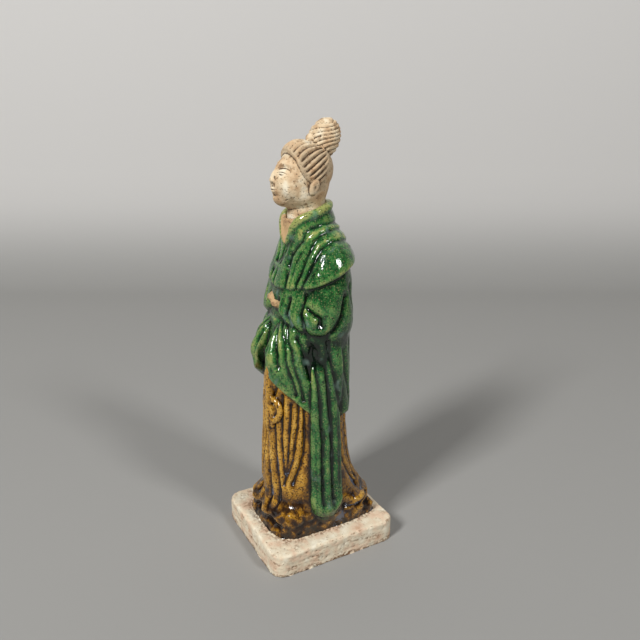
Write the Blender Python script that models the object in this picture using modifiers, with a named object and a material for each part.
# Glazed pottery court lady on a low plinth, modelled at real size.
# The lady faces -Y, her left side is +X, and the origin is under the middle of the plinth.

import math

import bmesh
import bpy
import numpy as np
from mathutils import Matrix

MM = 0.001

# Sizes that can be set by themselves
PLINTH_WIDTH = 66 * MM
PLINTH_DEPTH = 72 * MM
PLINTH_HEIGHT = 12.5 * MM
PLINTH_CORNER = 7 * MM
PLINTH_SLOPE = 3 * MM
FIGURE_HEIGHT = 207.5 * MM
NECK_RADIUS = 9.0 * MM
NECK_SEAT_DEPTH = 4 * MM
NECK_CLEARANCE = 0.5 * MM
SEAT_GAP = 0.3 * MM
RIM_SEGMENTS = 2
CORNER_SEGMENTS = 6

# The figure's pose and carving are shares of its height, written as if it were 207.5 units tall
CARVED_HEIGHT = 207.5
UNIT = FIGURE_HEIGHT / CARVED_HEIGHT
NECK_MIDDLE = -0.8
NECK_RIM = 162.0
NECK_TOP = 170.0
SEAT_RISE = 10
NECK_SEGMENTS = 40
HEAD_CENTRE = (0, -2.6, 181.0)
HEAD_TILT = 12.0
BUN_ROOT = (0, 8.7, 10.0)
HAIR_GROOVES = 26

# How finely the clay is modelled
BODY_GRAIN = 0.9
HEAD_GRAIN = 0.6
BODY_TRIANGLES = 6500
HEAD_TRIANGLES = 2500

# Gown, from its foot to the chest: height, half width, half depth, middle
SKIRT = (
    (0, 23.5, 30.0, 1.0),
    (9, 23.8, 29.0, 1.5),
    (17, 23.4, 26.8, 1.2),
    (25, 22.8, 25.4, -0.8),
    (33, 22.4, 24.3, -1.8),
    (48, 21.8, 23.0, -2.5),
    (72, 20.8, 21.8, -2.2),
    (92, 20.5, 21.0, -1.2),
    (114, 20.0, 18.5, 0.0),
)
# Jacket, from its hem to the ribs
JACKET = (
    (60, 24.8, 21.6, -0.4),
    (77, 24.5, 21.0, -0.3),
    (92, 24.6, 20.3, -0.1),
    (106, 24.8, 19.2, 0.3),
    (124, 24.6, 17.6, 1.2),
    (140, 23.0, 16.6, 2.0),
)
# Sleeved arms folded before the waist
ARMS = (
    (104, 25.0, 16.6, 0.2),
    (110, 27.2, 18.0, 0.0),
    (117, 28.9, 18.8, 0.0),
    (126, 28.6, 18.0, 0.3),
    (134, 27.2, 17.0, 1.6),
    (142, 24.5, 15.0, 2.6),
)
ARMS_HEM = ((-90, 113), (-70, 110.5), (-45, 108), (-20, 107), (0, 107), (30, 108), (60, 110), (90, 112))
# Shawl, from its lowest edge to the neck
SHAWL = (
    (126, 28.6, 18.6, 0.2),
    (133, 29.4, 18.4, 1.2),
    (139, 28.9, 17.6, 2.8),
    (145, 26.6, 16.4, 3.6),
    (151, 22.3, 15.0, 3.4),
    (157, 16.8, 13.8, 2.0),
    (162, 13.2, 12.6, 0.8),
    (166, 12.0, 11.6, -0.2),
)
SHAWL_HEM = ((-90, 127.5), (-68, 128), (-50, 130.5), (-34, 134), (-20, 137), (-3, 139.5), (90, 140.5))
# Outside of the wide hanging sleeves
SLEEVE = (
    (66, 24.3, 24.2, -2.0),
    (80, 24.9, 25.0, -2.0),
    (90, 25.4, 27.2, -2.0),
    (97, 25.8, 28.2, -2.0),
    (104, 25.8, 27.0, -1.6),
    (116, 26.0, 22.5, -1.0),
)
SLEEVE_HEM = ((-90, 104), (-78, 98), (-71, 89), (-59, 83), (-44, 77), (-28, 71), (-19, 68))
# Outside of the long sash ends that hang at each side
SIDE_SASH = (
    (13, 28.2, 26.0, -1.0),
    (26, 26.8, 25.0, -1.0),
    (46, 26.4, 24.2, -1.2),
    (72, 26.4, 23.8, -1.0),
    (108, 26.8, 22.4, -0.6),
)

# Creases on the lady's left, each a run of (degrees round from her left, height)
PLEATS = (
    ((-88, 96), (-86, 60), (-84, 12)),
    ((-84, 66), (-77, 47), (-68, 24)),
    ((-69, 67), (-62, 50), (-54, 28)),
    ((-52, 69), (-50, 51), (-47, 25)),
    ((-39, 69), (-40, 51), (-43, 34)),
    ((-27, 69), (-32, 51), (-42, 33)),
    ((27, 62), (30, 40), (40, 19)),
    ((40, 62), (44, 40), (54, 18)),
    ((54, 62), (58, 40), (66, 16)),
    ((70, 62), (71, 40), (77, 15)),
    ((86, 62), (85, 40), (86, 14)),
)
JACKET_FOLDS = (
    ((-2, 108), (11, 93), (22, 74), (27, 56)),
    ((16, 110), (28, 93), (38, 74), (43, 56)),
    ((38, 110), (46, 90), (54, 56)),
    ((60, 112), (64, 92), (68, 56)),
    ((82, 114), (82, 95), (84, 56)),
)
SLEEVE_FOLDS = (
    ((-74, 114), (-74, 105), (-71, 92)),
    ((-68, 115), (-62, 106), (-56, 98), (-56, 86)),
    ((-63, 115), (-53, 108), (-40, 98), (-34, 91), (-36, 78)),
    ((-52, 112), (-38, 102), (-29, 92), (-26, 74)),
)
SASH_FOLDS = (
    ((-13, 108), (-9, 84), (-8, 10)),
    ((-1, 100), (4, 84), (6, 10)),
)
ARM_FOLDS = (
    ((-80, 128), (-78, 112)),
    ((-64, 129), (-63, 119), (-54, 108)),
    ((-48, 132), (-45, 120), (-33, 108)),
    ((-38, 126), (-29, 121), (-15, 118)),
    ((20, 134), (38, 120), (44, 108)),
    ((62, 134), (68, 120), (70, 108)),
)
SHAWL_FOLDS = (
    ((-71, 126), (-76, 140), (-76, 148), (-70, 156), (-58, 161)),
    ((-64, 126), (-65, 138), (-61, 146), (-52, 152), (-34, 158), (10, 161), (90, 159)),
    ((-56, 128), (-56, 138), (-50, 145), (-38, 151), (-15, 155), (40, 155), (90, 151)),
    ((-48, 130), (-47, 139), (-40, 145.5), (-18, 150), (35, 149.5), (90, 145.5)),
)
# Neckband from the crossing on the chest to the nape: degrees, height, radius
COLLAR = (
    (-92, 149.5, 1.9),
    (-80, 154.2, 2.4),
    (-62, 160.0, 2.4),
    (-38, 163.2, 2.1),
    (0, 165.6, 2.0),
    (45, 167.8, 2.0),
    (90, 168.8, 2.0),
)
# Narrow sash down the front of the skirt with its bow
FRONT_SASH = ((-85, 106, 1.7), (-84, 84, 1.7), (-79, 72, 1.8), (-78, 57, 1.5))
BOW = ((-79, 71, 1.3), (-70, 77, 1.4), (-60, 75, 1.4), (-60, 69, 1.4), (-70, 67, 1.4), (-79, 71, 1.3))
BOW_TAIL = ((-74, 69, 1.4), (-68, 60, 1.3), (-68, 50, 0.9))
# Rolls of the hem on the ground: x, y, height, radius
FRONT_HEM_ROLL = ((3.5, -24.0, 2.5, 2.6), (8.0, -20.5, 4.0, 3.2), (13.5, -15.0, 5.0, 3.0))
BACK_HEM_ROLL = (
    (20.0, 6.0, 8.5, 2.2),
    (20.8, 12.0, 9.6, 2.9),
    (19.6, 20.0, 10.0, 3.1),
    (13.5, 26.5, 9.6, 3.0),
    (5.0, 29.0, 9.2, 2.6),
)
# Ground under the hem: half width, half depth, middle, and its height in front and behind
MOUND = (22.6, 28.6, 2.0, 2.0, 9.0)

# Foot and top of the garments that have no hem table
SKIRT_FOOT, SKIRT_TOP = -2, 114
JACKET_HEM, JACKET_SIDE_SLIT, JACKET_TOP = 59.5, 5, 140
ARMS_TOP = 142
SHAWL_TOP, SHAWL_NAPE_RISE = 165.4, 3.4
SLEEVE_TOP = 116
SASH_FOOT, SASH_TOP = 13, 110
# Degrees round from her left between which the sleeves and side sashes hang, and their thickness
SLEEVE_SIDES = (-80, -19)
SASH_SIDES = (-24, 20)
CLOTH_DEPTH = 7.0

# Folds: half width and depth of the cut
PLEAT_CUT = (1.6, 2.6)
JACKET_CUT = (1.6, 2.4)
ARM_CUT = (1.8, 2.9)
SHAWL_CUT = (1.5, 2.2)
SLEEVE_CUT = (1.6, 2.6)
SASH_CUT = (1.5, 2.6)
SASH_OVER_JACKET_CUT = (1.6, 2.1)
# Radius at which degrees round the figure become a length
BODY_REACH = 23.0
ARM_REACH = 25

# Hands before the waist: name, centre, radii, lean in degrees
HANDS = (
    ("left_hand", (1.4, -18.8, 121.0), (4.6, 3.4, 3.2), 10),
    ("right_hand", (-2.2, -19.2, 124.0), (4.2, 3.2, 3.0), 10),
)
# Head: name, centre, radii, lean in degrees, faces round and up
HEAD_LUMPS = (
    ("skull", (0, 1.2, 3.4), (11.6, 12.4, 12.2), 0, 48, 32),
    ("face", (0, -3.9, -2.6), (10.2, 10.4, 12.2), 0, 120, 90),
    ("chin", (0, -8.8, -11.6), (4.4, 4.0, 3.4), 0, 24, 16),
    ("jaw", (0, -0.6, -7.4), (10.4, 10.4, 7.4), 0, 40, 24),
    ("nape", (0, 5.0, -3.0), (10.6, 7.8, 9.6), 0, 32, 20),
    ("throat", (0, 4.0, -10.0), (9.1, 9.1, 9.0), 0, 40, 24),
    ("hair", (0, 1.0, 4.2), (12.7, 13.0, 12.8), 0, 240, 120),
    ("front_hair", (0, -4.0, 8.8), (10.8, 8.4, 8.0), 0, 240, 120),
    ("bun", (0, 7.8, 19.2), (7.7, 7.5, 10.0), 15, 80, 60),
    ("bun_root", (0, 5.6, 13.4), (5.8, 5.4, 4.6), 15, 32, 20),
    ("bun_knob", (0, 1.2, 18.0), (3.2, 2.6, 2.4), 0, 24, 16),
)
PAIRED_HEAD_LUMPS = (
    ("cheek", (4.6, -6.4, -6.0), (5.4, 6.2, 6.2), 0, 32, 24),
    ("ear", (11.2, 1.4, -2.6), (1.8, 2.6, 4.4), 10, 20, 16),
)
# Features of the face as pushes: distance from the middle, height, half width, half height, amount
FACE = (
    (4.4, 1.2, 3.0, 2.2, -2.2),
    (4.3, 0.8, 2.0, 1.0, 1.5),
    (4.6, 4.4, 3.4, 1.1, 0.5),
    (0.0, 0.5, 1.3, 4.2, 1.1),
    (0.0, -3.6, 1.6, 2.1, 1.4),
    (1.6, -4.4, 1.0, 0.9, 0.7),
    (0.0, -7.4, 2.6, 0.7, 0.8),
    (0.0, -8.3, 2.9, 0.5, -1.0),
    (0.0, -9.2, 2.1, 0.7, 0.7),
    (0.0, -12.0, 2.8, 1.6, 0.8),
)
# Hair: how far forward the hairline lies in the middle and runs back at the temples
HAIRLINE = (11.6, 8.0)
HAIR_RECESS = 3.0
HAIR_GROOVE_DEPTH = 1.3
BUN_MIDDLE = (0.0, 7.8, 19.2)
BUN_GROOVE_DEPTH = 0.45
BUN_GROOVE_PACE = 2.3
BUN_GROOVE_SLOPE = 0.35


def flow(at, stations):
    """The values of a table of stations at some heights, on a smooth curve through them."""
    table = np.asarray(stations, float)
    x, values = table[:, 0], table[:, 1:]
    slope = np.gradient(values, x, axis=0)
    low = np.clip(np.searchsorted(x, at) - 1, 0, len(x) - 2)
    gap = (x[low + 1] - x[low])[:, None]
    t = np.clip((at - x[low])[:, None] / gap, 0, 1)
    from_low = (1 + 2 * t) * (1 - t) ** 2 * values[low] + t * (1 - t) ** 2 * gap * slope[low]
    from_high = t * t * (3 - 2 * t) * values[low + 1] + t * t * (t - 1) * gap * slope[low + 1]
    return (from_low + from_high).T


def ease(start, end, value):
    """0 before start, 1 after end and a smooth rise between them."""
    t = np.clip((value - start) / (end - start), 0, 1)
    return t * t * (3 - 2 * t)


def clay(name, around, along, place):
    """A closed lump: a ball whose points are carried to place(turn, share of the way up, on_wall)."""
    bm = bmesh.new()
    bmesh.ops.create_uvsphere(bm, u_segments=around, v_segments=along, radius=1)
    start = np.array([v.co for v in bm.verts])
    turn = np.arctan2(start[:, 1], start[:, 0])
    step = np.arccos(np.clip(-start[:, 2], -1, 1)) / np.pi * along
    share = np.clip((step - 1) / (along - 2), 0, 1)
    on_wall = ((step > 0.5) & (step < along - 0.5)).astype(float)
    for vertex, point in zip(bm.verts, place(turn, share, on_wall)):
        vertex.co = point
    bmesh.ops.recalc_face_normals(bm, faces=bm.faces)
    mesh = bpy.data.meshes.new(name)
    bm.to_mesh(mesh)
    bm.free()
    lump = bpy.data.objects.new(name, mesh)
    workings.objects.link(lump)
    return lump


def left_side(turn):
    """The angle of each point, or of its twin on the lady's left."""
    return np.where(np.cos(turn) < 0, np.where(turn > 0, np.pi - turn, -np.pi - turn), turn)


def crease(turn, height, folds, width, depth, reach=BODY_REACH):
    """How deep the folds cut at each point of the unrolled surface, on both sides of the figure."""
    cut = np.zeros_like(turn)
    side = left_side(turn)
    for fold in folds:
        run = np.asarray(fold, float)
        line = np.column_stack([np.radians(run[:, 0]) * reach, run[:, 1]])
        near = np.full_like(turn, 1e9)
        for start, end in zip(line[:-1], line[1:]):
            way = end - start
            across, up = side * reach - start[0], height - start[1]
            t = np.clip((across * way[0] + up * way[1]) / (way @ way), 0, 1)
            near = np.minimum(near, (across - t * way[0]) ** 2 + (up - t * way[1]) ** 2)
        cut = np.maximum(cut, depth * np.exp(-near / width**2))
    return cut


def hem_at(turn, hem):
    """The height of a hem at each angle round the figure, alike on both sides."""
    return flow(np.degrees(left_side(turn)), hem)[0]


def wrap(turn, height, stations, fold, on_wall):
    """Points on a garment's outside: an oval round the body at each height, moved out by fold."""
    half_width, half_depth, middle = flow(height, stations)
    x = (half_width + fold) * np.cos(turn) * on_wall
    y = middle + (half_depth + fold) * np.sin(turn) * on_wall
    return np.column_stack([x, y, height])


def skirt(turn, share, on_wall):
    height = SKIRT_FOOT + (SKIRT_TOP - SKIRT_FOOT) * share
    fold = -crease(turn, height, PLEATS, *PLEAT_CUT) * ease(10, 22, height)
    billow = 1.1 * np.cos(9 * turn + 0.4) * np.exp(-(((height - 9) / 5) ** 2))
    return wrap(turn, height, SKIRT, fold + billow, on_wall)


def jacket(turn, share, on_wall):
    hem = JACKET_HEM + JACKET_SIDE_SLIT * np.maximum(0, np.cos(left_side(turn))) ** 2
    height = hem + (JACKET_TOP - hem) * share
    front = np.maximum(0, -np.sin(turn))
    tuck = 8 * ease(0.25, 0.6, front) * ease(108, 98, height)
    rolled_edge = 1.2 * (1 - ease(0, 0.03, share))
    fold = -crease(turn, height, JACKET_FOLDS, *JACKET_CUT)
    return wrap(turn, height, JACKET, fold - tuck - rolled_edge, on_wall)


def arms(turn, share, on_wall):
    hem = hem_at(turn, ARMS_HEM)
    height = hem + (ARMS_TOP - hem) * share
    rolled_edge = 4.5 * (1 - ease(0, 0.2, share)) ** 1.5
    fold = -crease(turn, height, ARM_FOLDS, *ARM_CUT, ARM_REACH)
    return wrap(turn, height, ARMS, fold - rolled_edge, on_wall)


def shawl(turn, share, on_wall):
    hem = hem_at(turn, SHAWL_HEM)
    top = SHAWL_TOP + SHAWL_NAPE_RISE * np.sin(turn)
    height = hem + (top - hem) * share
    rolled_edge = 2.4 * (1 - ease(0, 0.09, share)) ** 1.5
    fold = -crease(turn, height, SHAWL_FOLDS, *SHAWL_CUT)
    return wrap(turn, height, SHAWL, fold - rolled_edge, on_wall)


def patch(turn, share, on_wall, stations, low, high, bottom, top):
    """A thick piece of cloth over part of the body, between two angles and two edges."""
    across = np.sign(np.cos(turn)) * np.abs(np.cos(turn)) ** 0.6
    through = np.sign(np.sin(turn)) * np.abs(np.sin(turn)) ** 0.6
    angle = math.radians((low + high) / 2) - math.radians(high - low) / 2 * across * on_wall
    height = bottom(angle) + (top - bottom(angle)) * share
    half_width, half_depth, middle = flow(height, stations)
    inward = (1 - through * on_wall) / 2 * CLOTH_DEPTH
    return angle, height, half_width - inward, half_depth - inward, middle


def set_round(angle, height, half_width, half_depth, middle, fold):
    x = (half_width + fold) * np.cos(angle)
    y = middle + (half_depth + fold) * np.sin(angle)
    return np.column_stack([x, y, height])


def wide_sleeve(turn, share, on_wall):
    angle, height, *oval = patch(
        turn, share, on_wall, SLEEVE, *SLEEVE_SIDES, lambda angle: hem_at(angle, SLEEVE_HEM), SLEEVE_TOP
    )
    fold = -crease(angle, height, SLEEVE_FOLDS, *SLEEVE_CUT)
    slim = 0.6 * ease(88, 70, height) + 0.8 * ease(-1.05, -0.6, angle)
    return set_round(angle, height, *oval, fold - slim)


def side_sash(turn, share, on_wall):
    angle, height, *oval = patch(
        turn, share, on_wall, SIDE_SASH, *SASH_SIDES, lambda angle: SASH_FOOT + 0 * angle, SASH_TOP
    )
    fold = -crease(angle, height, SASH_FOLDS, *SASH_CUT)
    fold -= crease(angle, height, JACKET_FOLDS[:1], *SASH_OVER_JACKET_CUT)
    return set_round(angle, height, *oval, fold)


def on_cloth(stations, run, proud):
    """Stations of a band lying on a garment, from its degrees, heights and radii."""
    turn, height, radius = np.asarray(run, float).T
    points = wrap(np.radians(turn), height, stations, proud, np.ones_like(turn))
    return np.column_stack([points, radius])


def along_path(name, around, along, stations):
    """A round band through stations of (x, y, z, radius), with rounded ends."""
    table = np.asarray(stations, float)
    share_at = np.linspace(0, 1, len(table))
    middle_line = np.column_stack([share_at, table[:, :3]])

    def place(turn, share, on_wall):
        centre = flow(share, middle_line).T
        ahead = flow(np.clip(share + 0.02, 0, 1), middle_line)
        way = (ahead - flow(np.clip(share - 0.02, 0, 1), middle_line)).T
        way /= np.linalg.norm(way, axis=1)[:, None]
        steep = np.abs(way[:, 2]).mean() > 0.8
        side = np.cross(way, [0.0, 1.0, 0.0] if steep else [0.0, 0.0, 1.0])
        side /= np.linalg.norm(side, axis=1)[:, None]
        over = np.cross(side, way)
        radius = np.interp(share, share_at, table[:, 3])
        end = np.clip(np.minimum(share, 1 - share) * 8, 0, 1)
        reach = (radius * (0.3 + 0.7 * np.sqrt(1 - (1 - end) ** 2)) * on_wall)[:, None]
        return centre + reach * (np.cos(turn)[:, None] * side + np.sin(turn)[:, None] * over)

    return clay(name, around, along, place)


def ball(name, centre, radii, lean=0.0, around=32, along=20, shape=None):
    """An egg of clay, leaning back by some degrees, that shape can work over."""
    angle = math.radians(lean)

    def place(turn, share, on_wall):
        rise = np.where(on_wall > 0, share * 0.94 + 0.03, share) * np.pi
        x = radii[0] * np.sin(rise) * np.cos(turn)
        y = radii[1] * np.sin(rise) * np.sin(turn)
        z = -radii[2] * np.cos(rise)
        leaning = [
            x,
            y * math.cos(angle) + z * math.sin(angle),
            z * math.cos(angle) - y * math.sin(angle),
        ]
        points = np.column_stack(leaning) + np.asarray(centre, float)
        return shape(points) if shape else points

    return clay(name, around, along, place)


def mound(turn, share, on_wall):
    """The lumpy ground that the gown spreads over."""
    half_width, half_depth, middle, front_height, back_height = MOUND
    corner = (np.abs(np.cos(turn)) ** 5 + np.abs(np.sin(turn)) ** 5) ** (-1 / 5)
    billow = 0.6 * np.sin(8 * turn + 0.6) + 0.5 * np.sin(13 * turn + 2.0)
    shoulder = 1 - 0.16 * ease(0.4, 1.0, share) ** 2
    x = (half_width + billow) * corner * np.cos(turn) * shoulder * on_wall
    y = middle + (half_depth + billow) * corner * np.sin(turn) * shoulder * on_wall
    top = front_height + (back_height - front_height) * ease(-27, -14, y) + 0.7 * np.sin(9 * turn) * on_wall
    return np.column_stack([x, y, -3 + (top + 3) * share])


def mirrored(lump):
    """A copy of a lump on the lady's other side."""
    mesh = lump.data.copy()
    mesh.transform(Matrix.Scale(-1, 4, (1, 0, 0)))
    mesh.flip_normals()
    other = bpy.data.objects.new(lump.name + "_right", mesh)
    workings.objects.link(other)
    return other


def evaluated_mesh(obj):
    """The mesh of an object with its modifiers applied."""
    graph = bpy.context.evaluated_depsgraph_get()
    return bpy.data.meshes.new_from_object(obj.evaluated_get(graph), depsgraph=graph)


def settle(obj):
    """Keeps what the object's modifiers have made of it."""
    bpy.context.view_layer.update()
    obj.data = evaluated_mesh(obj)
    obj.modifiers.clear()


def knead(name, lumps, place, grain):
    """Joins lumps of clay into one skin, in metres, with the plinth's top under height 0."""
    bm = bmesh.new()
    for lump in lumps:
        bm.from_mesh(lump.data)
    mesh = bpy.data.meshes.new(name)
    bm.to_mesh(mesh)
    bm.free()
    mesh.transform(Matrix.Translation((0, 0, PLINTH_HEIGHT)) @ Matrix.Scale(UNIT, 4) @ place)
    skin = bpy.data.objects.new(name, mesh)
    workings.objects.link(skin)
    remesh = skin.modifiers.new("one_skin", "REMESH")
    remesh.mode = "VOXEL"
    remesh.voxel_size = grain * UNIT
    soften = skin.modifiers.new("soften", "SMOOTH")
    soften.factor = 0.5
    soften.iterations = 1
    settle(skin)
    return skin


def thin_out(obj, triangles):
    """Brings a skin down to about that many triangles, keeping the folds."""
    now = sum(len(p.vertices) - 2 for p in obj.data.polygons)
    fewer = obj.modifiers.new("fewer_faces", "DECIMATE")
    fewer.ratio = triangles / now
    settle(obj)


def move_to(obj, collection):
    for old in list(obj.users_collection):
        old.objects.unlink(obj)
    collection.objects.link(obj)


def neck_plug(name, clearance, gap, rise):
    """The round of the neck; wider, deeper and higher by a little it cuts its own seat in the collar."""
    foot = PLINTH_HEIGHT + NECK_RIM * UNIT - NECK_SEAT_DEPTH - gap
    top = PLINTH_HEIGHT + (NECK_TOP + rise) * UNIT
    bpy.ops.mesh.primitive_cylinder_add(
        vertices=NECK_SEGMENTS, radius=NECK_RADIUS + clearance, depth=top - foot,
        location=(0, NECK_MIDDLE * UNIT, (top + foot) / 2),
    )
    plug = bpy.context.object
    plug.name = name
    move_to(plug, workings)
    return plug


def combine(obj, other, operation):
    boolean = obj.modifiers.new(other.name, "BOOLEAN")
    boolean.operation = operation
    boolean.object = other
    boolean.solver = "EXACT"


def material(name, colour, roughness):
    made = bpy.data.materials.new(name)
    made.use_nodes = True
    shader = made.node_tree.nodes["Principled BSDF"]
    shader.inputs["Base Color"].default_value = (*colour, 1)
    shader.inputs["Roughness"].default_value = roughness
    shader.inputs["Metallic"].default_value = 0.0
    return made


def finish(obj, name, made_of):
    """Names the piece, gives it its material and puts it in the figure's collection."""
    settle(obj)
    move_to(obj, figure)
    obj.name = name
    obj.data.name = name
    obj.data.materials.clear()
    obj.data.materials.append(made_of)
    obj.data.shade_smooth()


for old in list(bpy.data.objects):
    bpy.data.objects.remove(old)
figure = bpy.data.collections.new("court_lady")
workings = bpy.data.collections.new("workings")
bpy.context.scene.collection.children.link(figure)
bpy.context.scene.collection.children.link(workings)

# Body: garments from the inside out
garments = [
    clay("mound", 96, 16, mound),
    clay("skirt", 240, 120, skirt),
    clay("jacket", 200, 80, jacket),
    clay("arms", 200, 40, arms),
    clay("shawl", 200, 60, shawl),
    *(ball(*hand) for hand in HANDS),
    along_path("front_sash", 16, 48, on_cloth(SKIRT, FRONT_SASH, 0.1)),
    along_path("bow", 16, 60, on_cloth(SKIRT, BOW, 0.4)),
    along_path("bow_tail", 16, 24, on_cloth(SKIRT, BOW_TAIL, 0.2)),
]
for lump in (
    clay("wide_sleeve", 160, 50, wide_sleeve),
    clay("side_sash", 140, 90, side_sash),
    along_path("collar", 20, 60, on_cloth(SHAWL, COLLAR, -1.2)),
    along_path("front_hem_roll", 20, 24, FRONT_HEM_ROLL),
    along_path("back_hem_roll", 20, 40, BACK_HEM_ROLL),
):
    garments += [lump, mirrored(lump)]
body = knead("body", garments, Matrix(), BODY_GRAIN)
thin_out(body, BODY_TRIANGLES)

# Plinth with rounded corners and a sloping top edge
bpy.ops.mesh.primitive_cube_add(size=1, location=(0, 0, PLINTH_HEIGHT / 2))
plinth = bpy.context.object
plinth.name = "plinth"
plinth.data.transform(Matrix.Diagonal((PLINTH_WIDTH, PLINTH_DEPTH, PLINTH_HEIGHT, 1)))
move_to(plinth, workings)
bm = bmesh.new()
bm.from_mesh(plinth.data)
uprights = [e for e in bm.edges if abs(e.verts[0].co.z - e.verts[1].co.z) > PLINTH_HEIGHT / 2]
bmesh.ops.bevel(
    bm, geom=uprights, offset=PLINTH_CORNER, segments=CORNER_SEGMENTS, affect="EDGES", profile=0.5,
)
rim = [e for e in bm.edges if min(v.co.z for v in e.verts) > PLINTH_HEIGHT / 2 - 1e-6]
bmesh.ops.bevel(bm, geom=rim, offset=PLINTH_SLOPE, segments=RIM_SEGMENTS, affect="EDGES", profile=0.4)
bm.to_mesh(plinth.data)
bm.free()
combine(body, plinth, "UNION")
combine(body, neck_plug("neck_seat", NECK_CLEARANCE, SEAT_GAP, SEAT_RISE), "DIFFERENCE")


def face_shape(points):
    """Works the front of the head: brows, eyes, nose, mouth and chin."""
    push = np.zeros(len(points))
    across, up = np.abs(points[:, 0]), points[:, 2]
    for x, z, width, height, amount in FACE:
        push += amount * np.exp(-(((across - x) / width) ** 2) - ((up - z) / height) ** 2)
    out = points.copy()
    out[:, 1] -= push * ease(-2.0, -8.0, points[:, 1])
    return out


def hair_shape(points):
    """Combs grooves through the hair towards the bun and draws it in before the hairline."""
    forward, back = HAIRLINE
    hairline = ease(-0.5, 0.9, points[:, 1] + forward - back * (points[:, 0] / 11.0) ** 2)
    knot = np.array(BUN_ROOT, float)
    axis = -knot / np.linalg.norm(knot)
    side = np.cross(axis, [1.0, 0.0, 0.0])
    around = np.arctan2((points - knot) @ side, (points - knot)[:, 0])
    groove = HAIR_GROOVE_DEPTH * (0.5 + 0.5 * np.cos(HAIR_GROOVES * around)) ** 1.5
    groove *= ease(8.0, 4.5, points[:, 1]) * ease(-7.0, -4.0, points[:, 2])
    length = np.linalg.norm(points, axis=1)
    return points * (1 - (groove * hairline + HAIR_RECESS * (1 - hairline)) / length)[:, None]


def bun_shape(points):
    """Winds the bun with grooves that curve round it."""
    rise = points[:, 2] - BUN_GROOVE_SLOPE * points[:, 1]
    groove = BUN_GROOVE_DEPTH * (0.5 + 0.5 * np.cos(BUN_GROOVE_PACE * rise))
    out = points - np.array(BUN_MIDDLE)
    length = np.linalg.norm(out, axis=1)
    return points - out * (groove / length)[:, None]


# Head: skull, face and dressed hair
worked = {"face": face_shape, "hair": hair_shape, "front_hair": hair_shape, "bun": bun_shape}
head_lumps = [ball(*lump, worked.get(lump[0])) for lump in HEAD_LUMPS]
for form in PAIRED_HEAD_LUMPS:
    lump = ball(*form)
    head_lumps += [lump, mirrored(lump)]
tilt = Matrix.Translation(HEAD_CENTRE) @ Matrix.Rotation(math.radians(-HEAD_TILT), 4, "X")
head = knead("head", head_lumps, tilt, HEAD_GRAIN)
thin_out(head, HEAD_TRIANGLES)
combine(head, neck_plug("neck_plug", 0, 0, 0), "UNION")

finish(body, "robed_body_with_plinth", material("glazed_earthenware", (0.03, 0.12, 0.04), 0.2))
finish(head, "head_with_bun", material("bare_earthenware", (0.62, 0.50, 0.36), 0.8))
for obj in workings.objects:
    obj.hide_render = True
